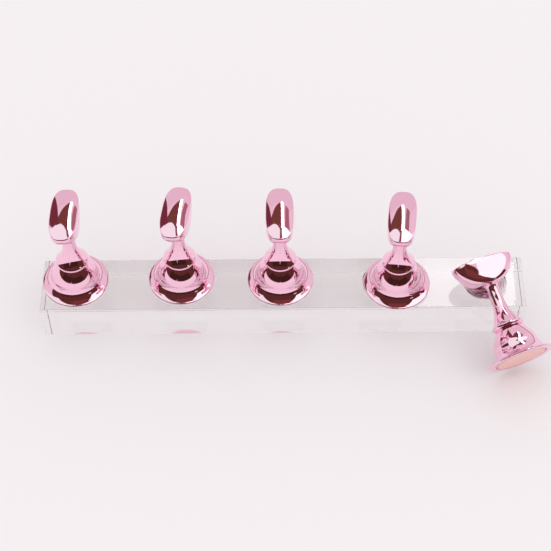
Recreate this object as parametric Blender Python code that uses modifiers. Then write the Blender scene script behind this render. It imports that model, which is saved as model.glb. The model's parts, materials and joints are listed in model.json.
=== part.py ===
"""Magnetic nail practice stand.

A clear bar, four plated holders standing on it, and a fifth one leaning on its front edge.
"""

import math

import bmesh
import bpy
from mathutils import Matrix, Vector

# Clearances and overruns
FIT_GAP = 0.0003
CUT_OVERRUN = 0.001

# Clear bar
BAR_LENGTH = 0.150
BAR_WIDTH = 0.019
BAR_HEIGHT = 0.0136
BAR_EDGE_BEVEL = 0.0004

# Steel seat discs let into the bar's top
SEAT_COUNT = 5
SEAT_END_MARGIN = 0.0122
SEAT_DISC_RADIUS = 0.0064
SEAT_DISC_THICKNESS = 0.0015

# Holder: flange and domed base
RIM_RADIUS = 0.01025
RIM_THICKNESS = 0.0006
DOME_RADIUS = 0.0070
DOME_FOOT_HEIGHT = 0.0047
DOME_RISE = 0.0052
DOME_CURVE_POWER = 1.5
GROOVE_RADIUS = 0.0043

# Holder: collar and waisted stem
COLLAR_RADIUS = 0.0050
COLLAR_STEP = 0.0003
COLLAR_BEAD_RADIUS = 0.0008
COLLAR_BEAD_END_ANGLE = math.radians(48)
STEM_RISE = 0.0097
STEM_CURVE_POWER = 2.6
NECK_RADIUS = 0.0020
NECK_TOP_RADIUS = 0.0023
NECK_OVERLAP = 0.0016

# Holder: head
HEAD_RISE = 0.0118
HEAD_LENGTH = 0.0195
HEAD_WIDTH = 0.0084
HEAD_OFFSET = 0.0003
HEAD_RIM_ARCH = 0.0005
HEAD_CROWN = 0.0005
HULL_DEPTH = 0.0085
PLAN_POWER = 2.8
CROWN_POWER = 2.4
HULL_POWER = 3.0
KEEL_LENGTH_POWER = 2.0
KEEL_DEPTH_POWER = 0.7
POLE_SHARE = 0.0003

# Holder: heights above its underside, which follow from the sizes above
GROOVE_HEIGHT = DOME_FOOT_HEIGHT + DOME_RISE
COLLAR_HEIGHT = GROOVE_HEIGHT + COLLAR_STEP + COLLAR_BEAD_RADIUS
NECK_HEIGHT = COLLAR_HEIGHT + STEM_RISE
HEAD_TIP_HEIGHT = NECK_HEIGHT + HEAD_RISE
KEEL_HEIGHT = HEAD_TIP_HEIGHT + HEAD_RIM_ARCH - HULL_DEPTH
NECK_TOP_HEIGHT = KEEL_HEIGHT + NECK_OVERLAP

# Magnet and cover disc under each holder
MAGNET_RADIUS = 0.006
MAGNET_THICKNESS = 0.003
PAD_RADIUS = 0.0078
PAD_THICKNESS = 0.0005

# Where the four standing holders are: how far each is off its seat, and how far its head is turned
MOST_OFFSET = 0.004
OFFSET_SHARES = ((-0.425, 0.325), (-0.025, 0.475), (-0.175, 0.275), (1.0, -0.15))
STANDING_TURNS = (math.radians(-1.5), math.radians(-7.5), 0.0, math.radians(-6))

# How the fifth holder leans on the bar's front top edge, which meets its stem this far below the neck
LEAN_END_INSET = 0.0028
LEAN_REST_DROP = 0.0024
LEAN_AZIMUTH = math.radians(-20.4)
LEAN_SPIN = math.radians(178.5)
LEAN_SOLVER_ROUNDS = 30

# Facets
TURN_STEPS = 32
DISC_STEPS = 32
HEAD_RINGS = 16
HEAD_SEGMENTS = 24
FLARE_STEPS = 5
DOME_STEPS = 6
BEAD_STEPS = 4
STEM_STEPS = 7
SMOOTH_ANGLE = math.radians(35)

# Colours, roughness and metallic values
PLATING = ((0.80, 0.36, 0.50, 1.0), 0.06, 1.0)
ACRYLIC = ((0.97, 0.96, 0.96, 1.0), 0.03, 0.0)
STEEL = ((0.62, 0.62, 0.63, 1.0), 0.25, 1.0)
MAGNET = ((0.45, 0.45, 0.47, 1.0), 0.30, 1.0)
PAD = ((0.87, 0.66, 0.60, 1.0), 0.55, 0.0)


def clear_scene():
    for obj in list(bpy.data.objects):
        bpy.data.objects.remove(obj, do_unlink=True)


def make_collection(name):
    collection = bpy.data.collections.new(name)
    bpy.context.scene.collection.children.link(collection)
    return collection


def make_material(name, look, see_through=0.0):
    colour, roughness, metallic = look
    material = bpy.data.materials.new(name)
    material.use_nodes = True
    shader = material.node_tree.nodes["Principled BSDF"]
    shader.inputs["Base Color"].default_value = colour
    shader.inputs["Roughness"].default_value = roughness
    shader.inputs["Metallic"].default_value = metallic
    shader.inputs["Transmission Weight"].default_value = see_through
    material.diffuse_color = colour
    return material


def add_object(name, mesh, collection, material=None):
    obj = bpy.data.objects.new(name, mesh)
    collection.objects.link(obj)
    if material:
        mesh.materials.clear()
        mesh.materials.append(material)
    return obj


def smooth(mesh):
    mesh.shade_smooth()
    mesh.set_sharp_from_angle(angle=SMOOTH_ANGLE)


def make_cutter(name, mesh, collection):
    cutter = add_object(name, mesh, collection)
    cutter.hide_render = True
    cutter.display_type = "WIRE"
    return cutter


def cylinder_mesh(name, radius, bottom, top):
    """A round disc or rod on the Z axis, from its bottom height to its top height."""
    body = bmesh.new()
    bmesh.ops.create_cone(
        body,
        cap_ends=True,
        segments=DISC_STEPS,
        radius1=radius,
        radius2=radius,
        depth=top - bottom,
        matrix=Matrix.Translation((0, 0, (bottom + top) / 2)),
    )
    mesh = bpy.data.meshes.new(name)
    body.to_mesh(mesh)
    body.free()
    smooth(mesh)
    return mesh


def boolean(obj, other, operation):
    modifier = obj.modifiers.new(other.name, "BOOLEAN")
    modifier.operation = operation
    modifier.solver = "EXACT"
    modifier.object = other


def evaluated_mesh(obj, name):
    """The object's mesh with its modifiers applied."""
    bpy.context.view_layer.update()
    graph = bpy.context.evaluated_depsgraph_get()
    mesh = bpy.data.meshes.new_from_object(obj.evaluated_get(graph))
    mesh.name = name
    return mesh


# Clear bar and the steel discs in its top


def seat_places():
    """The seats' places along the bar, from left to right."""
    first = SEAT_END_MARGIN - BAR_LENGTH / 2
    pitch = (BAR_LENGTH - 2 * SEAT_END_MARGIN) / (SEAT_COUNT - 1)
    return [first + number * pitch for number in range(SEAT_COUNT)]


def make_bar(parts, cutters):
    body = bmesh.new()
    bmesh.ops.create_cube(body, size=1)
    bmesh.ops.scale(body, vec=(BAR_LENGTH, BAR_WIDTH, BAR_HEIGHT), verts=body.verts)
    bmesh.ops.translate(body, vec=(0, 0, BAR_HEIGHT / 2), verts=body.verts)
    mesh = bpy.data.meshes.new("acrylic_bar")
    body.to_mesh(mesh)
    body.free()
    bar = add_object("acrylic_bar", mesh, parts, make_material("clear_acrylic", ACRYLIC, 1.0))
    bevel = bar.modifiers.new("polished_edges", "BEVEL")
    bevel.width = BAR_EDGE_BEVEL
    bevel.segments = 1

    pocket_depth = SEAT_DISC_THICKNESS + FIT_GAP
    pocket = cylinder_mesh(
        "seat_pocket",
        SEAT_DISC_RADIUS + FIT_GAP,
        BAR_HEIGHT - pocket_depth,
        BAR_HEIGHT + CUT_OVERRUN,
    )
    steel = make_material("seat_steel", STEEL)
    disc = cylinder_mesh("seat_disc", SEAT_DISC_RADIUS, BAR_HEIGHT - SEAT_DISC_THICKNESS, BAR_HEIGHT)
    for number, place in enumerate(seat_places(), start=1):
        cutter = make_cutter(f"seat_pocket_{number}", pocket, cutters)
        cutter.location.x = place
        boolean(bar, cutter, "DIFFERENCE")
        seat = add_object(f"seat_disc_{number}", disc, parts, steel)
        seat.location.x = place
        seat.parent = bar


# The plated body of a holder


def stem_radius(height):
    """The stem's radius at a height between the collar and the narrowest part of the neck."""
    start_radius, start_height = bead_end()
    share = (height - start_height) / (NECK_HEIGHT - start_height)
    return NECK_RADIUS + (start_radius - NECK_RADIUS) * (1 - share) ** STEM_CURVE_POWER


def bead_end():
    """Where the collar's round edge meets the stem."""
    radius = COLLAR_RADIUS - COLLAR_BEAD_RADIUS * (1 - math.cos(COLLAR_BEAD_END_ANGLE))
    height = COLLAR_HEIGHT + COLLAR_BEAD_RADIUS * math.sin(COLLAR_BEAD_END_ANGLE)
    return radius, height


def turned_profile():
    """(radius, height) of the turned part, from its underside's middle up its outer side to the axis."""
    points = [(0, 0), (RIM_RADIUS, 0)]
    run = RIM_RADIUS - DOME_RADIUS
    start = 2 * math.atan2(DOME_FOOT_HEIGHT - RIM_THICKNESS, run) - math.radians(90)
    flare_radius = run / (1 - math.sin(start))
    for step in range(FLARE_STEPS + 1):
        angle = start + (math.radians(90) - start) * step / FLARE_STEPS
        radius = DOME_RADIUS + flare_radius * (1 - math.sin(angle))
        height = DOME_FOOT_HEIGHT - flare_radius * math.cos(angle)
        points.append((radius, height))
    for step in range(1, DOME_STEPS + 1):
        share = step / DOME_STEPS
        radius = DOME_RADIUS - (DOME_RADIUS - GROOVE_RADIUS) * share**DOME_CURVE_POWER
        points.append((radius, DOME_FOOT_HEIGHT + (GROOVE_HEIGHT - DOME_FOOT_HEIGHT) * share))
    for step in range(BEAD_STEPS + 1):
        share = step / BEAD_STEPS
        angle = math.radians(-90) + (COLLAR_BEAD_END_ANGLE + math.radians(90)) * share
        radius = COLLAR_RADIUS - COLLAR_BEAD_RADIUS * (1 - math.cos(angle))
        points.append((radius, COLLAR_HEIGHT + COLLAR_BEAD_RADIUS * math.sin(angle)))
    start_height = bead_end()[1]
    for step in range(1, STEM_STEPS + 1):
        height = start_height + (NECK_HEIGHT - start_height) * step / STEM_STEPS
        points.append((stem_radius(height), height))
    points.append((NECK_TOP_RADIUS, NECK_TOP_HEIGHT))
    points.append((0, NECK_TOP_HEIGHT))
    return points


def make_turned_part(collection):
    body = bmesh.new()
    verts = [body.verts.new((radius, 0, height)) for radius, height in reversed(turned_profile())]
    for upper, lower in zip(verts, verts[1:]):
        body.edges.new((upper, lower))
    mesh = bpy.data.meshes.new("holder_turned")
    body.to_mesh(mesh)
    body.free()
    obj = make_cutter("holder_turned", mesh, collection)
    screw = obj.modifiers.new("turned", "SCREW")
    screw.steps = TURN_STEPS
    screw.render_steps = TURN_STEPS
    screw.use_merge_vertices = True
    screw.merge_threshold = FIT_GAP / 10
    return obj


def signed_power(value, power):
    return math.copysign(abs(value) ** power, value)


def head_point(along, across, up):
    """The head's surface point for a point of the unit sphere, whose poles are the head's two tips."""
    ring = math.hypot(across, up)
    rim_height = HEAD_TIP_HEIGHT + HEAD_RIM_ARCH * (1 - along * along)
    y = HEAD_OFFSET + along * HEAD_LENGTH / 2
    if ring < POLE_SHARE:
        return Vector((0, y, HEAD_TIP_HEIGHT))
    side = across / ring
    rise = up / ring
    half_width = HEAD_WIDTH / 2 * (1 - abs(along) ** PLAN_POWER) ** (1 / PLAN_POWER)
    if rise >= 0:
        x = half_width * signed_power(side, 2 / CROWN_POWER)
        z = rim_height + HEAD_CROWN * (1 - along * along) * rise ** (2 / CROWN_POWER)
    else:
        depth = HULL_DEPTH * (1 - abs(along) ** KEEL_LENGTH_POWER) ** KEEL_DEPTH_POWER
        x = half_width * signed_power(side, 2 / HULL_POWER)
        z = rim_height - depth * abs(rise) ** (2 / HULL_POWER)
    return Vector((x, y, z))


def make_head(collection):
    """The head: a sphere whose points move onto the arched top and the boat-shaped underside."""
    body = bmesh.new()
    bmesh.ops.create_uvsphere(body, u_segments=HEAD_SEGMENTS, v_segments=HEAD_RINGS, radius=1)
    for vert in body.verts:
        across, up, along = vert.co
        vert.co = head_point(along, across, up)
    bmesh.ops.recalc_face_normals(body, faces=body.faces)
    mesh = bpy.data.meshes.new("holder_head")
    body.to_mesh(mesh)
    body.free()
    return make_cutter("holder_head", mesh, collection)


def holder_body_mesh(cutters):
    """The whole plated body, with its underside cut for the cover disc and the magnet."""
    turned = make_turned_part(cutters)
    boolean(turned, make_head(cutters), "UNION")
    pad_recess = PAD_THICKNESS + FIT_GAP
    recess = cylinder_mesh("pad_recess", PAD_RADIUS + FIT_GAP, -CUT_OVERRUN, pad_recess)
    boolean(turned, make_cutter("pad_recess", recess, cutters), "DIFFERENCE")
    pocket_top = magnet_bottom() + MAGNET_THICKNESS + FIT_GAP
    pocket = cylinder_mesh("magnet_pocket", MAGNET_RADIUS + FIT_GAP, -CUT_OVERRUN, pocket_top)
    boolean(turned, make_cutter("magnet_pocket", pocket, cutters), "DIFFERENCE")
    mesh = evaluated_mesh(turned, "holder_body")
    smooth(mesh)
    return mesh


def magnet_bottom():
    return PAD_THICKNESS + FIT_GAP


# The five holders and where they are


def lean_axis(elevation):
    """The leaning holder's direction, from its base to its head."""
    level = math.cos(elevation)
    return Vector((
        level * math.sin(LEAN_AZIMUTH),
        level * math.cos(LEAN_AZIMUTH),
        math.sin(elevation),
    ))


def lean_base_height(elevation):
    """How high the middle of the base's underside is when the flange's edge stands on the table."""
    return RIM_RADIUS * math.cos(elevation) + FIT_GAP


def lean_rest(elevation):
    """(run, rise) from the middle of the base's underside to the edge that the stem rests on."""
    axis = lean_axis(elevation)
    rest_height = NECK_HEIGHT - LEAN_REST_DROP
    reach = stem_radius(rest_height) + FIT_GAP
    slope_length = math.hypot(axis.y, axis.z)
    run = rest_height * axis.y + reach * axis.z / slope_length
    rise = rest_height * axis.z - reach * axis.y / slope_length
    return run, rise


def lean_elevation():
    """The angle at which the flange stands on the table and the stem rests on the bar's edge."""
    low = 0
    high = math.radians(90)
    for _ in range(LEAN_SOLVER_ROUNDS):
        middle = (low + high) / 2
        edge_height = lean_base_height(middle) + lean_rest(middle)[1]
        if edge_height < BAR_HEIGHT:
            low = middle
        else:
            high = middle
    return low


def lean_matrix():
    """The leaning holder's place, with its flange on the table and its stem on the bar's front top edge."""
    elevation = lean_elevation()
    axis = lean_axis(elevation)
    place = Vector((
        BAR_LENGTH / 2 - LEAN_END_INSET,
        -BAR_WIDTH / 2 - lean_rest(elevation)[0],
        lean_base_height(elevation),
    ))

    sideways = axis.cross(Vector((0, 0, 1))).normalized()
    upward = sideways.cross(axis)
    along = sideways * math.cos(LEAN_SPIN) + upward * math.sin(LEAN_SPIN)
    across = along.cross(axis)
    turn = Matrix((across, along, axis)).transposed().to_4x4()
    return Matrix.Translation(place) @ turn


def standing_matrix(number):
    share_x, share_y = OFFSET_SHARES[number]
    seat = Vector((seat_places()[number], 0, BAR_HEIGHT + FIT_GAP))
    place = seat + MOST_OFFSET * Vector((share_x, share_y, 0))
    return Matrix.Translation(place) @ Matrix.Rotation(STANDING_TURNS[number], 4, "Z")


def make_holders(parts, cutters):
    plating = make_material("plating", PLATING)
    magnet_look = make_material("magnet", MAGNET)
    pad_look = make_material("cover_disc", PAD)
    body = holder_body_mesh(cutters)
    bottom = magnet_bottom()
    magnet = cylinder_mesh("base_magnet", MAGNET_RADIUS, bottom, bottom + MAGNET_THICKNESS)
    pad = cylinder_mesh("base_pad", PAD_RADIUS, 0, PAD_THICKNESS)
    places = [standing_matrix(number) for number in range(len(OFFSET_SHARES))]
    places.append(lean_matrix())
    for number, place in enumerate(places, start=1):
        axis = bpy.data.objects.new(f"holder_axis_{number}", None)
        parts.objects.link(axis)
        axis.matrix_world = place
        for name, mesh, look in (
            ("holder_body", body, plating),
            ("base_magnet", magnet, magnet_look),
            ("base_pad", pad, pad_look),
        ):
            piece = add_object(f"{name}_{number}", mesh, parts, look)
            piece.parent = axis


def main():
    clear_scene()
    parts = make_collection("magnetic_nail_practice_stand")
    cutters = make_collection("cutters")
    make_bar(parts, cutters)
    make_holders(parts, cutters)
    bpy.context.view_layer.update()


main()
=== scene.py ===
import json
import math

import bmesh
import bpy
from mathutils import Matrix, Vector

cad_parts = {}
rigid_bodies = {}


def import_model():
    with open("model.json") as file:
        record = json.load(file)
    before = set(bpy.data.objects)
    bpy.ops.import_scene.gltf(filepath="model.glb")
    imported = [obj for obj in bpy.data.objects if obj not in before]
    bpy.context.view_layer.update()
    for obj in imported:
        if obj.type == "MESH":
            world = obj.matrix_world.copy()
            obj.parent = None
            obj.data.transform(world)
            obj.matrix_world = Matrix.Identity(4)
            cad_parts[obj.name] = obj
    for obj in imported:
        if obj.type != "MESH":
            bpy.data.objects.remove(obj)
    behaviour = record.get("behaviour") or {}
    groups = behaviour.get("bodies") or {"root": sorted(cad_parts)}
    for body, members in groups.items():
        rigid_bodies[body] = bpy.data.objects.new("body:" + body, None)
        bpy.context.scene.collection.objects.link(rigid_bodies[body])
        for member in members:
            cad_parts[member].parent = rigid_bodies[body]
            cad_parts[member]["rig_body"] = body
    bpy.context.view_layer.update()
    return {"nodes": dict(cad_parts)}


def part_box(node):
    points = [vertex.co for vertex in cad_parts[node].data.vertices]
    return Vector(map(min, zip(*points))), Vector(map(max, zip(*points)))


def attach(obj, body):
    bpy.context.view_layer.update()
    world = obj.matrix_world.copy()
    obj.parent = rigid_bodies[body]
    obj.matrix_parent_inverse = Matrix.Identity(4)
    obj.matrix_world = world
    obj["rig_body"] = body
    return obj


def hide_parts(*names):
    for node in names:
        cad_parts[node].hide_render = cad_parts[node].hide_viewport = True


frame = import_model()
nodes = frame["nodes"]

HOLDER_NUMBERS = range(1, 6)

# Holder body: turned part, from the flange up to the neck
RIM_RADIUS = 0.01025
RIM_EDGE_ROUND = 0.0003
DOME_RADIUS = 0.0070
DOME_FOOT_HEIGHT = 0.0047
DOME_RISE = 0.0052
DOME_CURVE_POWER = 1.5
GROOVE_RADIUS = 0.0043
COLLAR_RADIUS = 0.0050
COLLAR_STEP = 0.0003
COLLAR_BEAD_RADIUS = 0.0008
COLLAR_BEAD_END_ANGLE = math.radians(48)
STEM_RISE = 0.0097
STEM_CURVE_POWER = 2.6
NECK_RADIUS = 0.0020
NECK_FILLET_RADIUS = 0.0029

# Holder body: head
HEAD_RISE = 0.0118
HEAD_LENGTH = 0.0195
HEAD_WIDTH = 0.0084
HEAD_OFFSET = 0.0003
HEAD_RIM_ARCH = 0.0005
HEAD_RIM_ROUND = 0.00025
HEAD_CROWN = 0.0008
HULL_DEPTH = 0.0085
PLAN_POWER = 2.8
HULL_POWER = 7.0
HULL_END_POWER = 2.3
KEEL_LENGTH_POWER = 2.0
KEEL_DEPTH_POWER = 0.62
SLOPE_REACH = 1.02  # of the fillet's radius: how far out the underside's slope is measured

GROOVE_HEIGHT = DOME_FOOT_HEIGHT + DOME_RISE
COLLAR_HEIGHT = GROOVE_HEIGHT + COLLAR_STEP + COLLAR_BEAD_RADIUS
NECK_HEIGHT = COLLAR_HEIGHT + STEM_RISE
HEAD_TIP_HEIGHT = NECK_HEIGHT + HEAD_RISE

# Recess under a holder's base, for its cover disc and its magnet
FIT_GAP = 0.0003
RECESS_EDGE_ROUND = 0.00012

# Bar, and the discs in it and in the bases
BAR_EDGE_BEVEL = 0.00015
BAR_BEVEL_STEPS = 3
POCKET_EDGE_BEVEL = 0.00012
SEAT_EDGE_ROUND = 0.0003
SEAT_GROOVE_DEPTH = 0.00004
SEAT_GROOVES = 7
SEAT_GROOVE_SHARE = 0.24
MAGNET_EDGE_ROUND = 0.0004
PAD_EDGE_ROUND = 0.0001

# Mould seam, a fine ridge up the front and back of a holder
SEAM_RISE = 0.00004
SEAM_ANGLES = (math.radians(90), math.radians(270))
SEAM_HALF_ANGLES = (math.radians(0.5), math.radians(1.1))
SEAM_SPACING = 1.5  # of its half width: the mesh's even columns stay this far off

# Steps of the finer meshes
TURN_STEPS = 128
FLARE_STEPS = 20
DOME_STEPS = 22
BEAD_STEPS = 16
STEM_STEPS = 26
FILLET_STEPS = 14
HULL_STEPS = 40
TOP_STEPS = 26
ROUND_STEPS = 5
DISC_STEPS = 96
SHARP_ANGLE = math.radians(50)
BAR_SHARP_ANGLE = math.radians(40)

# Materials: the two tones that each one's texture runs between
PLATING_TONES = ((1.0, 0.60, 0.76), (1.0, 0.64, 0.79))
# The acrylic's darker tone is painted reflection: faint streaks along the bar that stand in for
# streaked reflections on its faces.
ACRYLIC_AND_PAINTED_STREAK_TONES = ((0.975, 0.96, 0.965), (1.0, 1.0, 1.0))
STEEL_TONES = ((0.74, 0.73, 0.74), (0.82, 0.81, 0.82))
NICKEL_TONES = ((0.58, 0.55, 0.50), (0.70, 0.67, 0.62))
COVER_TONES = ((0.86, 0.50, 0.47), (0.92, 0.58, 0.54))
FLOOR_TONES = ((0.88, 0.847, 0.858), (0.89, 0.857, 0.867))
ACRYLIC_IOR = 1.49

# Surroundings. A direction from the stand is (azimuth, elevation) in degrees, where azimuth 0 is
# towards the camera and grows to the right.
FLOOR_DROP = 0.0002
FLOOR_REACH = 12.0
WORLD_LIGHT = (1.0, 0.985, 0.99)
WORLD_LIGHT_STRENGTH = 0.98
WORLD_SHOWN = (0.82, 0.765, 0.785)
CANOPY_COLOUR = (0.10, 0.034, 0.027)
FLAG_COLOUR = (0.165, 0.063, 0.045)

# What mirrors show: name, share of the distance, corners as directions (lower left, lower right,
# upper right, upper left), and colour
CARD_DISTANCE = 4.0
CARD_STEPS = 16
CARDS = (
    ("canopy_front", 1.10, (-90, 0), (88, 0), (88, 90), (-90, 90), CANOPY_COLOUR),
    ("canopy_low", 1.09, (-60, 0), (55, 0), (45, 15), (-50, 15), (0.048, 0.018, 0.014)),
    ("canopy_glow", 1.08, (-25, 52), (40, 52), (60, 82), (-50, 82), (0.17, 0.05, 0.042)),
    ("box_right", 1.0, (60, 39), (112, 34), (142, 74), (58, 74), (1.2, 1.45, 1.32)),
    ("panel_right", 1.0, (120, 58), (166, 69), (168, 89), (96, 89), (2.0, 2.0, 2.0)),
    ("window_right", 1.0, (50, 20), (60, 20), (60, 25), (50, 25), (1.0, 1.0, 1.0)),
    ("panel_left", 1.0, (-182, 68), (-118, 42), (-100, 89), (-190, 89), (0.92, 1.13, 1.02)),
    ("box_left", 1.0, (-118, 42), (-68, 42), (-60, 82), (-112, 86), (0.92, 1.1, 1.0)),
    ("flag_gap", 0.98, (170, 66), (177, 66), (182, 86), (160, 86), (0.22, 0.09, 0.10)),
    ("flag_back_left", 0.985, (-184, 40), (-143, 52), (-139, 57), (-191, 76), FLAG_COLOUR),
    ("flag_side_left", 0.975, (-153, 24), (-130, 26), (-131, 51), (-146, 60), (0.16, 0.037, 0.05)),
    ("stripe_back", 0.97, (171, 40), (176.5, 40), (169.5, 70), (157, 68), (5.5, 5.5, 5.5)),
    ("patch_back_right", 0.99, (150, 43), (163, 42), (153, 66), (137, 63), (0.38, 0.18, 0.20)),
    ("wall_foot", 1.11, (105, 0), (255, 0), (250, 6), (110, 6), (0.42, 0.30, 0.34)),
    ("wall_back", 1.12, (140, 8), (220, 8), (215, 41), (145, 41), (0.77, 0.70, 0.72)),
)

# Soft lamps: name, azimuth, elevation, distance, size and power
LAMPS = (
    ("lamp_right", 70, 45, 1.2, 0.8, 0.9),
    ("lamp_left", -85, 48, 1.2, 0.7, 0.5),
)

# Camera: its place, its turn to the right, down and over, and its picture angle
IMAGE_SIDE = 551
CAMERA_PLACE = Vector((0.00132, -0.28915, 0.40771))
CAMERA_YAW = math.radians(-0.70)
CAMERA_PITCH = math.radians(53.455)
CAMERA_ROLL = math.radians(-1.017)
FOCAL_PIXELS = 1569.5
SENSOR_WIDTH = 36.0
CLIP_START = 0.01


def new_object(name, data):
    """A new object, in the scene."""
    item = bpy.data.objects.new(name, data)
    bpy.context.scene.collection.objects.link(item)
    return item


# The plated body's surface


def signed_power(value, power):
    return math.copysign(abs(value) ** power, value)


def arc(centre, radius, start, end, steps):
    """(radius, height) points on a round edge, both ends included."""
    angles = [start + (end - start) * step / steps for step in range(steps + 1)]
    return [(centre[0] + radius * math.cos(a), centre[1] + radius * math.sin(a)) for a in angles]


def even_angles(count):
    return [2 * math.pi * step / count for step in range(count)]


def round_ring(radius, height, angles):
    return [Vector((radius * math.cos(a), radius * math.sin(a), height)) for a in angles]


def bead_end():
    """Where the collar's round edge meets the stem."""
    radius = COLLAR_RADIUS - COLLAR_BEAD_RADIUS * (1 - math.cos(COLLAR_BEAD_END_ANGLE))
    height = COLLAR_HEIGHT + COLLAR_BEAD_RADIUS * math.sin(COLLAR_BEAD_END_ANGLE)
    return radius, height


def underside_profile(pad_radius, pad_depth, magnet_radius, magnet_depth):
    """(radius, height) from the magnet's recess out over the cover disc's to the underside."""
    lip = RECESS_EDGE_ROUND
    points = [(magnet_radius, magnet_depth), (magnet_radius, pad_depth), (pad_radius, pad_depth)]
    points += arc((pad_radius + lip, lip), lip, math.radians(180), math.radians(270), ROUND_STEPS)
    return points


def outer_profile():
    """(radius, height) from the rim's lower edge up the outside to the neck."""
    edge = RIM_EDGE_ROUND
    middle = (RIM_RADIUS - edge, edge)
    points = arc(middle, edge, math.radians(-90), math.radians(90), 2 * ROUND_STEPS)
    run = RIM_RADIUS - edge - DOME_RADIUS
    start = 2 * math.atan2(DOME_FOOT_HEIGHT - 2 * edge, run) - math.radians(90)
    flare_radius = run / (1 - math.sin(start))
    for step in range(1, FLARE_STEPS + 1):
        angle = start + (math.radians(90) - start) * step / FLARE_STEPS
        radius = DOME_RADIUS + flare_radius * (1 - math.sin(angle))
        points.append((radius, DOME_FOOT_HEIGHT - flare_radius * math.cos(angle)))
    for step in range(1, DOME_STEPS + 1):
        share = step / DOME_STEPS
        radius = DOME_RADIUS - (DOME_RADIUS - GROOVE_RADIUS) * share**DOME_CURVE_POWER
        points.append((radius, DOME_FOOT_HEIGHT + DOME_RISE * share))
    bead = (COLLAR_RADIUS - COLLAR_BEAD_RADIUS, COLLAR_HEIGHT)
    points += arc(bead, COLLAR_BEAD_RADIUS, math.radians(-90), COLLAR_BEAD_END_ANGLE, BEAD_STEPS)
    start_radius, start_height = bead_end()
    for step in range(1, STEM_STEPS + 1):
        share = step / STEM_STEPS
        radius = NECK_RADIUS + (start_radius - NECK_RADIUS) * (1 - share) ** STEM_CURVE_POWER
        points.append((radius, start_height + (NECK_HEIGHT - start_height) * share))
    return points


def rim_point(angle):
    """Where a column of the mesh crosses the head's widest line, seen from above."""
    x = HEAD_WIDTH / 2 * signed_power(math.cos(angle), 2 / PLAN_POWER)
    y = HEAD_LENGTH / 2 * signed_power(math.sin(angle), 2 / PLAN_POWER)
    return x, HEAD_OFFSET + y


def head_frame(x, y):
    """(share along, share across, rim height) of a place on the head, seen from above."""
    along = max(-1.0, min(1.0, (y - HEAD_OFFSET) / (HEAD_LENGTH / 2)))
    half_width = HEAD_WIDTH / 2 * (1 - abs(along) ** PLAN_POWER) ** (1 / PLAN_POWER)
    across = min(1.0, abs(x) / half_width) if half_width > 0 else 1.0
    return along, across, HEAD_TIP_HEIGHT + HEAD_RIM_ARCH * (1 - along**2)


def hull_height(x, y):
    """The height of the head's underside at a place: fuller sections amidships than at the ends."""
    along, across, rim_height = head_frame(x, y)
    keel = (1 - abs(along) ** KEEL_LENGTH_POWER) ** KEEL_DEPTH_POWER
    depth = (HULL_DEPTH - HEAD_RIM_ROUND) * keel
    power = HULL_POWER + (HULL_END_POWER - HULL_POWER) * abs(along)
    return rim_height - HEAD_RIM_ROUND - depth * (1 - across**power) ** (1 / power)


def crown_height(x, y, inset):
    """The height of the head's top at a place, which is that far inside its round edge."""
    along, across, rim_height = head_frame(x, y)
    left = max(0.0, HEAD_RIM_ROUND - inset)
    drop = HEAD_RIM_ROUND - math.sqrt(HEAD_RIM_ROUND**2 - left**2)
    return rim_height + HEAD_CROWN * (1 - along**2) * (1 - across**2) - drop


def fillet_point(angle, share):
    """A point of the smooth turn from the neck, going up, to the head's underside, going out."""
    cos, sin = math.cos(angle), math.sin(angle)
    outer = NECK_FILLET_RADIUS
    height = hull_height(outer * cos, outer * sin)
    beyond = outer * SLOPE_REACH
    slope = (hull_height(beyond * cos, beyond * sin) - height) / (beyond - outer)
    run = outer - NECK_RADIUS
    rise = height - NECK_HEIGHT
    length = math.hypot(run, rise)
    out_radial = length / math.hypot(1, slope)
    start, end = (1 + 2 * share) * (1 - share) ** 2, share**2 * (3 - 2 * share)
    leave, arrive = share * (1 - share) ** 2, share**2 * (share - 1)
    radius = NECK_RADIUS * start + outer * end + out_radial * arrive
    z = NECK_HEIGHT * start + height * end + length * leave + slope * out_radial * arrive
    return Vector((radius * cos, radius * sin, z))


def column_angles():
    """The mesh's columns: even steps, and closer ones beside the mould seam."""
    near = SEAM_HALF_ANGLES[-1] * SEAM_SPACING
    kept = []
    for angle in even_angles(TURN_STEPS):
        if all(abs(angle - seam) > near for seam in SEAM_ANGLES):
            kept.append(angle)
    for seam in SEAM_ANGLES:
        kept.append(seam)
        for half in SEAM_HALF_ANGLES:
            kept += [seam - half, seam + half]
    return sorted(kept)


def seam_lift(angle):
    off = min(abs(angle - seam) for seam in SEAM_ANGLES)
    return SEAM_RISE * max(0.0, 1 - off / SEAM_HALF_ANGLES[-1])


def holder_rings(angles, recess):
    """Rows of points, one a column, from the recess under the base to the top of the head."""
    rings = [round_ring(radius, height, angles) for radius, height in underside_profile(*recess)]
    for radius, height in outer_profile():
        ring = []
        for a in angles:
            reach = radius + seam_lift(a)
            ring.append(Vector((reach * math.cos(a), reach * math.sin(a), height)))
        rings.append(ring)
    for step in range(1, FILLET_STEPS + 1):
        rings.append([fillet_point(a, step / FILLET_STEPS) for a in angles])
    for step in range(1, HULL_STEPS + 1):
        share = math.sin(math.radians(90) * step / HULL_STEPS)
        ring = []
        for a in angles:
            rim_x, rim_y = rim_point(a)
            x = NECK_FILLET_RADIUS * math.cos(a) * (1 - share) + rim_x * share
            y = NECK_FILLET_RADIUS * math.sin(a) * (1 - share) + rim_y * share
            ring.append(Vector((x, y, hull_height(x, y))))
        rings.append(ring)
    for step in range(1, TOP_STEPS):
        share = math.cos(math.radians(90) * step / TOP_STEPS)
        ring = []
        for a in angles:
            rim_x, rim_y = rim_point(a)
            x = rim_x * share
            y = HEAD_OFFSET + (rim_y - HEAD_OFFSET) * share
            inset = math.hypot(rim_x - x, rim_y - y)
            ring.append(Vector((x, y, crown_height(x, y, inset))))
        rings.append(ring)
    return rings


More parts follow.
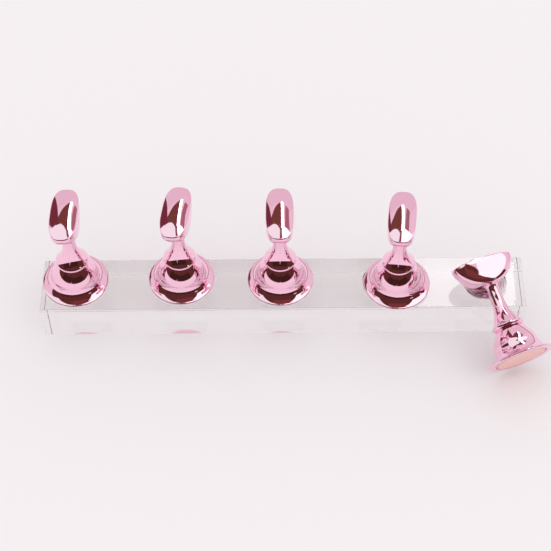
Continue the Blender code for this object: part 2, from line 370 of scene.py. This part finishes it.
def lathe_mesh(name, rings, bottom, top):
    """A closed mesh from rows of points with the same columns, and one point at either end."""
    columns = len(rings[0])
    points = [point for ring in rings for point in ring] + [bottom, top]
    faces = []
    for row in range(len(rings) - 1):
        for column in range(columns):
            beside = (column + 1) % columns
            lower, upper = row * columns, (row + 1) * columns
            faces.append((lower + column, lower + beside, upper + beside, upper + column))
    last = (len(rings) - 1) * columns
    for column in range(columns):
        beside = (column + 1) % columns
        faces.append((len(points) - 2, beside, column))
        faces.append((len(points) - 1, last + column, last + beside))
    mesh = bpy.data.meshes.new(name)
    mesh.from_pydata([tuple(point) for point in points], [], faces)
    mesh.shade_smooth()
    return mesh


def holder_mesh(recess):
    angles = column_angles()
    rings = holder_rings(angles, recess)
    middle_top = Vector((0, HEAD_OFFSET, HEAD_TIP_HEIGHT + HEAD_RIM_ARCH + HEAD_CROWN))
    mesh = lathe_mesh("holder_body_fine", rings, Vector((0, 0, recess[3])), middle_top)
    mesh.set_sharp_from_angle(angle=SHARP_ANGLE)
    return mesh


# Where each holder is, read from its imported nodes


def node_points(name):
    return [vert.co.copy() for vert in nodes[name].data.vertices]


def middle_of(points):
    return sum(points, Vector()) / len(points)


def axis_ends(name, axis, near):
    """The lowest and highest reach of a node along an axis, from a point on it."""
    reach = [(point - near).dot(axis) for point in node_points(name)]
    return min(reach), max(reach)


def holder_matrix(number):
    """A holder's place: the middle of its underside, its axis, and the way its head points."""
    pad = middle_of(node_points(f"base_pad_{number}"))
    magnet = middle_of(node_points(f"base_magnet_{number}"))
    axis = (magnet - pad).normalized()
    place = pad + axis * axis_ends(f"base_pad_{number}", axis, pad)[0]
    tips = []
    for point in node_points(f"holder_body_{number}"):
        height = (point - place).dot(axis)
        if height > NECK_HEIGHT:
            off = point - place - axis * height
            tips.append((off.length, off))
    along = max(tips, key=lambda tip: tip[0])[1].normalized()
    across = along.cross(axis)
    turn = Matrix((across, along, axis)).transposed().to_4x4()
    return Matrix.Translation(place) @ turn


def disc_size(name, axis):
    """(radius, thickness) of a round node."""
    points = node_points(name)
    middle = middle_of(points)
    offs = [point - middle for point in points]
    radius = max((off - axis * off.dot(axis)).length for off in offs)
    low, high = axis_ends(name, axis, middle)
    return radius, high - low


def add_piece(name, mesh, node, material, matrix):
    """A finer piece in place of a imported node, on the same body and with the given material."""
    body = nodes[node]["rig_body"]
    piece = new_object(name, mesh)
    piece.matrix_world = matrix
    if not mesh.materials:
        mesh.materials.append(material)
    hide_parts(node)
    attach(piece, body)


def turned_disc(name, profile):
    """A closed round mesh from (radius, height) points, from the axis below to the axis above."""
    angles = even_angles(DISC_STEPS)
    rings = [round_ring(radius, height, angles) for radius, height in profile[1:-1]]
    mesh = lathe_mesh(name, rings, Vector((0, 0, profile[0][1])), Vector((0, 0, profile[-1][1])))
    mesh.set_sharp_from_angle(angle=SHARP_ANGLE)
    return mesh


def rounded_disc_profile(radius, thickness, edge):
    points = [(0, 0)]
    points += arc((radius - edge, edge), edge, math.radians(-90), 0, ROUND_STEPS)
    points += arc((radius - edge, thickness - edge), edge, 0, math.radians(90), ROUND_STEPS)
    points.append((0, thickness))
    return points


def seat_profile(radius, thickness):
    """(radius, height) points of a steel disc with fine turned rings on its top."""
    points = rounded_disc_profile(radius, thickness, SEAT_EDGE_ROUND)[:-1]
    outer = radius - 2 * SEAT_EDGE_ROUND
    pitch = outer / SEAT_GROOVES
    for number in range(SEAT_GROOVES):
        start = outer - pitch * number
        points.append((start, thickness))
        points.append((start - pitch * SEAT_GROOVE_SHARE / 2, thickness - SEAT_GROOVE_DEPTH))
        points.append((start - pitch * SEAT_GROOVE_SHARE, thickness))
    points.append((0, thickness))
    return points


def add_holders(plating, nickel, cover):
    up = Vector((0, 0, 1))
    pad_radius, pad_thickness = disc_size("base_pad_1", up)
    magnet_radius, magnet_thickness = disc_size("base_magnet_1", up)
    pad_depth = pad_thickness + FIT_GAP
    magnet_depth = pad_depth + magnet_thickness + FIT_GAP
    recess = (pad_radius + FIT_GAP, pad_depth, magnet_radius + FIT_GAP, magnet_depth)
    body_mesh = holder_mesh(recess)
    pad_profile = rounded_disc_profile(pad_radius, pad_thickness, PAD_EDGE_ROUND)
    pad_mesh = turned_disc("cover_disc_fine", pad_profile)
    magnet_profile = rounded_disc_profile(magnet_radius, magnet_thickness, MAGNET_EDGE_ROUND)
    magnet_mesh = turned_disc("magnet_fine", magnet_profile)
    for number in HOLDER_NUMBERS:
        place = holder_matrix(number)
        lifted = place @ Matrix.Translation((0, 0, pad_depth))
        body, magnet, pad = f"holder_body_{number}", f"base_magnet_{number}", f"base_pad_{number}"
        add_piece(f"holder_{number}", body_mesh, body, plating, place)
        add_piece(f"magnet_{number}", magnet_mesh, magnet, nickel, lifted)
        add_piece(f"cover_{number}", pad_mesh, pad, cover, place)


# Bar and seat discs


def add_bar(acrylic):
    """The clear block, with rounded edges and an open round pocket for each seat disc."""
    low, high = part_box("acrylic_bar")
    mesh = bpy.data.meshes.new("bar_fine")
    build = bmesh.new()
    bmesh.ops.create_cube(build, size=1)
    for vert in build.verts:
        share = vert.co + Vector((0.5, 0.5, 0.5))
        vert.co = Vector([low[i] + (high[i] - low[i]) * share[i] for i in range(3)])
    build.to_mesh(mesh)
    build.free()
    mesh.materials.append(acrylic)
    piece = new_object("bar", mesh)
    bevel = piece.modifiers.new("edges", "BEVEL")
    bevel.width = BAR_EDGE_BEVEL
    bevel.segments = BAR_BEVEL_STEPS
    bevel.harden_normals = True
    apply_modifiers(piece)
    for number in HOLDER_NUMBERS:
        disc_low, disc_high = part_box(f"seat_disc_{number}")
        cut_pocket(piece, disc_low, disc_high, high.z)
    piece.data.shade_smooth()
    piece.data.set_sharp_from_angle(angle=BAR_SHARP_ANGLE)
    flat = piece.modifiers.new("flat_faces", "WEIGHTED_NORMAL")
    flat.keep_sharp = True
    flat.weight = 100
    apply_modifiers(piece)
    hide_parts("acrylic_bar")
    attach(piece, nodes["acrylic_bar"]["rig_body"])


def apply_modifiers(piece):
    """Puts the result of a piece's modifiers into its mesh."""
    bpy.context.view_layer.update()
    graph = bpy.context.evaluated_depsgraph_get()
    mesh = bpy.data.meshes.new_from_object(piece.evaluated_get(graph))
    piece.modifiers.clear()
    piece.data = mesh


def cut_pocket(piece, disc_low, disc_high, top):
    """Cuts a seat disc's pocket, a little wider and deeper, with a small chamfer at its mouth."""
    middle = (disc_low + disc_high) / 2
    radius = (disc_high.x - disc_low.x) / 2 + FIT_GAP
    bottom = disc_low.z - FIT_GAP
    chamfer = POCKET_EDGE_BEVEL
    profile = [(0, bottom), (radius, bottom), (radius, top - chamfer), (radius + chamfer, top)]
    profile += [(radius + chamfer, top + chamfer), (0, top + chamfer)]
    cutter = new_object("pocket_cutter", turned_disc("pocket_cutter", profile))
    cutter.location = (middle.x, middle.y, 0)
    cut = piece.modifiers.new("pocket", "BOOLEAN")
    cut.operation = "DIFFERENCE"
    cut.solver = "EXACT"
    cut.object = cutter
    apply_modifiers(piece)
    mesh = cutter.data
    bpy.data.objects.remove(cutter)
    bpy.data.meshes.remove(mesh)


def add_seats(steel):
    radius, thickness = disc_size("seat_disc_1", Vector((0, 0, 1)))
    mesh = turned_disc("seat_fine", seat_profile(radius, thickness))
    for number in HOLDER_NUMBERS:
        low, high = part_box(f"seat_disc_{number}")
        place = Matrix.Translation(((low.x + high.x) / 2, (low.y + high.y) / 2, low.z))
        add_piece(f"seat_{number}", mesh, f"seat_disc_{number}", steel, place)


# Materials


def new_material(name):
    material = bpy.data.materials.new(name)
    material.use_nodes = True
    tree = material.node_tree
    tree.nodes.clear()
    return material, tree, tree.nodes.new("ShaderNodeOutputMaterial")


def shader(tree, kind, **values):
    """A node, its inputs set to plain values or joined to outputs. A name has _ for each space."""
    node = tree.nodes.new(kind)
    for name, value in values.items():
        socket = node.inputs[name.replace("_", " ")]
        if isinstance(value, bpy.types.NodeSocket):
            tree.links.new(value, socket)
        else:
            socket.default_value = value
    return node


def object_place(tree, stretch=(1, 1, 1)):
    place = tree.nodes.new("ShaderNodeTexCoord").outputs["Object"]
    return shader(tree, "ShaderNodeMapping", Vector=place, Scale=stretch).outputs[0]


def noise(tree, place, scale, detail):
    node = shader(tree, "ShaderNodeTexNoise", Vector=place, Scale=scale, Detail=detail)
    return node.outputs["Fac"]


def spread(tree, value, source, target=(0, 1)):
    """A value carried over from one range to another, and held inside it."""
    node = shader(tree, "ShaderNodeMapRange", Value=value)
    names = ("From Min", "From Max", "To Min", "To Max")
    for name, number in zip(names, (*source, *target)):
        node.inputs[name].default_value = number
    return node.outputs["Result"]


def blend_tones(tree, share, tones):
    node = tree.nodes.new("ShaderNodeMix")
    node.data_type = "RGBA"
    tree.links.new(share, node.inputs["Factor"])
    node.inputs[6].default_value = (*tones[0], 1)
    node.inputs[7].default_value = (*tones[1], 1)
    return node.outputs[2]


def bump(tree, height, distance, normal=None):
    node = shader(tree, "ShaderNodeBump", Height=height, Distance=distance, Strength=1.0)
    if normal is not None:
        tree.links.new(normal, node.inputs["Normal"])
    return node.outputs["Normal"]


def either(tree, first, second):
    """1 for a ray of either kind."""
    node = tree.nodes.new("ShaderNodeMath")
    node.operation = "MAXIMUM"
    tree.links.new(first, node.inputs[0])
    tree.links.new(second, node.inputs[1])
    return node.outputs[0]


def mix_shaders(tree, share, first, second):
    node = tree.nodes.new("ShaderNodeMixShader")
    for number, output in enumerate((share, first, second)):
        tree.links.new(output, node.inputs[number])
    return node.outputs[0]


def plating_material():
    """Pink metal plating on moulded plastic: mirror-like, faintly wavy, with hairline scratches."""
    material, tree, output = new_material("pink_plating_fine")
    place = object_place(tree)
    waves = noise(tree, place, scale=260, detail=1.0)
    haze = noise(tree, place, scale=900, detail=3.0)
    scratches = noise(tree, object_place(tree, (900, 900, 5000)), scale=1.0, detail=1.0)
    normal = bump(tree, waves, distance=0.000006)
    normal = bump(tree, spread(tree, scratches, (0.62, 0.72)), distance=0.0000003, normal=normal)
    surface = shader(
        tree,
        "ShaderNodeBsdfPrincipled",
        Base_Color=blend_tones(tree, haze, PLATING_TONES),
        Metallic=1.0,
        Roughness=spread(tree, haze, (0.35, 0.75), (0.025, 0.07)),
        Normal=normal,
    )
    tree.links.new(surface.outputs[0], output.inputs["Surface"])
    return material


def acrylic_material():
    """Clear cast acrylic with polished faces, its tint streaked darker along the bar as painted
    reflection. Light for what lies under it passes through.
    """
    material, tree, output = new_material("clear_acrylic_fine")
    place = object_place(tree)
    smears = noise(tree, place, scale=120, detail=2.0)
    # Painted reflection: darker streaks along the bar in the block's tint, standing in for streaked
    # reflections on its faces.
    painted_reflection_streaks = noise(tree, object_place(tree, (5, 420, 420)), scale=1.0, detail=2.0)
    scratches = noise(tree, object_place(tree, (60, 2500, 2500)), scale=1.0, detail=1.0)
    normal = bump(tree, smears, distance=0.000004)
    normal = bump(tree, spread(tree, scratches, (0.64, 0.74)), distance=0.0000003, normal=normal)
    glass = shader(
        tree,
        "ShaderNodeBsdfPrincipled",
        Base_Color=blend_tones(tree, spread(tree, painted_reflection_streaks, (0.3, 0.7)), ACRYLIC_AND_PAINTED_STREAK_TONES),
        Roughness=0.0,
        IOR=ACRYLIC_IOR,
        Transmission_Weight=1.0,
        Normal=normal,
    )
    clear = tree.nodes.new("ShaderNodeBsdfTransparent")
    rays = tree.nodes.new("ShaderNodeLightPath").outputs
    passing = either(tree, rays["Is Shadow Ray"], rays["Is Diffuse Ray"])
    surface = mix_shaders(tree, passing, glass.outputs[0], clear.outputs[0])
    tree.links.new(surface, output.inputs["Surface"])
    return material


def steel_material():
    """Polished steel with faint turned rings and a slightly uneven grey."""
    material, tree, output = new_material("seat_steel_fine")
    place = object_place(tree)
    rings = shader(tree, "ShaderNodeTexWave", Vector=place, Scale=1400, Distortion=0.6)
    rings.wave_type = "RINGS"
    rings.rings_direction = "Z"
    stains = noise(tree, place, scale=420, detail=3.0)
    surface = shader(
        tree,
        "ShaderNodeBsdfPrincipled",
        Base_Color=blend_tones(tree, stains, STEEL_TONES),
        Metallic=1.0,
        Roughness=spread(tree, stains, (0.3, 0.7), (0.05, 0.10)),
        Normal=bump(tree, rings.outputs["Fac"], distance=0.0000004),
    )
    tree.links.new(surface.outputs[0], output.inputs["Surface"])
    return material


def nickel_material():
    """Nickel plating on the magnets, a little rubbed."""
    material, tree, output = new_material("magnet_fine")
    place = object_place(tree)
    rub = noise(tree, place, scale=350, detail=4.0)
    grain = noise(tree, place, scale=6000, detail=2.0)
    surface = shader(
        tree,
        "ShaderNodeBsdfPrincipled",
        Base_Color=blend_tones(tree, rub, NICKEL_TONES),
        Metallic=1.0,
        Roughness=spread(tree, rub, (0.3, 0.7), (0.14, 0.30)),
        Normal=bump(tree, grain, distance=0.000001),
    )
    tree.links.new(surface.outputs[0], output.inputs["Surface"])
    return material


def cover_material():
    """Peach paper cover disc with a fine fibre grain."""
    material, tree, output = new_material("cover_disc_fine")
    place = object_place(tree)
    mottle = noise(tree, place, scale=700, detail=3.0)
    fibres = noise(tree, object_place(tree, (2500, 6000, 4000)), scale=1.0, detail=3.0)
    surface = shader(
        tree,
        "ShaderNodeBsdfPrincipled",
        Base_Color=blend_tones(tree, mottle, COVER_TONES),
        Roughness=spread(tree, fibres, (0.3, 0.7), (0.6, 0.75)),
        Normal=bump(tree, fibres, distance=0.00001),
    )
    tree.links.new(surface.outputs[0], output.inputs["Surface"])
    return material


def glow_material(name, colour):
    material, tree, output = new_material(name)
    glow = shader(tree, "ShaderNodeEmission", Color=(*colour, 1), Strength=1.0)
    tree.links.new(glow.outputs[0], output.inputs["Surface"])
    material.cycles.emission_sampling = "NONE"
    return material


# Floor, surroundings and light


def direction(azimuth, elevation):
    a, e = math.radians(azimuth), math.radians(elevation)
    return Vector((math.sin(a) * math.cos(e), -math.cos(a) * math.cos(e), math.sin(e)))


def add_card(name, distance, low_left, low_right, high_right, high_left, colour):
    """A part of the surroundings that only mirrors see: a curved patch between four directions."""
    mesh = bpy.data.meshes.new(name)
    points = []
    for row in range(CARD_STEPS + 1):
        v = row / CARD_STEPS
        for column in range(CARD_STEPS + 1):
            u = column / CARD_STEPS
            place = []
            for i in range(2):
                low = low_left[i] * (1 - u) + low_right[i] * u
                high = high_left[i] * (1 - u) + high_right[i] * u
                place.append(low * (1 - v) + high * v)
            points.append(direction(*place) * distance * CARD_DISTANCE)
    faces = []
    for row in range(CARD_STEPS):
        for column in range(CARD_STEPS):
            first = row * (CARD_STEPS + 1) + column
            faces.append((first, first + 1, first + CARD_STEPS + 2, first + CARD_STEPS + 1))
    mesh.from_pydata([tuple(point) for point in points], [], faces)
    mesh.materials.append(glow_material(name, colour))
    card = new_object(name, mesh)
    card.visible_camera = False
    card.visible_diffuse = False
    card.visible_transmission = False
    card.visible_volume_scatter = False
    card.visible_shadow = False


def add_floor():
    material, tree, output = new_material("floor")
    mottle = noise(tree, object_place(tree), scale=3, detail=2.0)
    surface = shader(
        tree,
        "ShaderNodeBsdfPrincipled",
        Base_Color=blend_tones(tree, mottle, FLOOR_TONES),
        Roughness=0.9,
        Specular_IOR_Level=0.0,
    )
    tree.links.new(surface.outputs[0], output.inputs["Surface"])
    mesh = bpy.data.meshes.new("floor")
    reach = FLOOR_REACH
    corners = [(-reach, -reach, 0), (reach, -reach, 0), (reach, reach, 0), (-reach, reach, 0)]
    mesh.from_pydata(corners, [], [(0, 1, 2, 3)])
    mesh.materials.append(material)
    floor = new_object("floor", mesh)
    floor.location.z = -FLOOR_DROP


def add_world():
    """Even light, and a pale tone where a view, a mirror or the clear block shows the world."""
    world = bpy.data.worlds.new("world")
    world.use_nodes = True
    tree = world.node_tree
    tree.nodes.clear()
    rays = tree.nodes.new("ShaderNodeLightPath").outputs
    colour = (*WORLD_LIGHT, 1)
    lighting = shader(tree, "ShaderNodeBackground", Color=colour, Strength=WORLD_LIGHT_STRENGTH)
    shown = shader(tree, "ShaderNodeBackground", Color=(*WORLD_SHOWN, 1), Strength=1.0)
    seen = either(tree, rays["Is Camera Ray"], rays["Is Glossy Ray"])
    seen = either(tree, seen, rays["Is Transmission Ray"])
    mix = mix_shaders(tree, seen, lighting.outputs[0], shown.outputs[0])
    output = tree.nodes.new("ShaderNodeOutputWorld")
    tree.links.new(mix, output.inputs["Surface"])
    bpy.context.scene.world = world


def add_lamp(name, azimuth, elevation, distance, size, power):
    """A soft lamp facing the stand. Mirrors show the cards in its place."""
    data = bpy.data.lights.new(name, "AREA")
    data.shape = "SQUARE"
    data.size = size
    data.energy = power
    lamp = new_object(name, data)
    lamp.location = direction(azimuth, elevation) * distance
    lamp.rotation_euler = direction(azimuth, elevation).to_track_quat("Z", "Y").to_euler()
    lamp.visible_glossy = False
    lamp.visible_transmission = False
    lamp.visible_camera = False


def add_camera():
    yaw, pitch, roll = CAMERA_YAW, CAMERA_PITCH, CAMERA_ROLL
    forward = Vector((
        math.sin(yaw) * math.cos(pitch),
        math.cos(yaw) * math.cos(pitch),
        -math.sin(pitch),
    ))
    right = Vector((math.cos(yaw), -math.sin(yaw), 0))
    up = right.cross(forward)
    rolled_right = math.cos(roll) * right + math.sin(roll) * up
    rolled_up = math.cos(roll) * up - math.sin(roll) * right
    turn = Matrix((rolled_right, rolled_up, -forward)).transposed().to_4x4()
    data = bpy.data.cameras.new("camera")
    data.sensor_width = SENSOR_WIDTH
    data.lens = FOCAL_PIXELS / IMAGE_SIDE * SENSOR_WIDTH
    data.clip_start = CLIP_START
    camera = new_object("camera", data)
    camera.matrix_world = Matrix.Translation(CAMERA_PLACE) @ turn
    bpy.context.scene.camera = camera


add_bar(acrylic_material())
add_seats(steel_material())
add_holders(plating_material(), nickel_material(), cover_material())
add_camera()
add_floor()
add_world()
for card in CARDS:
    add_card(*card)
for lamp in LAMPS:
    add_lamp(*lamp)
bpy.context.scene.view_settings.view_transform = "Standard"
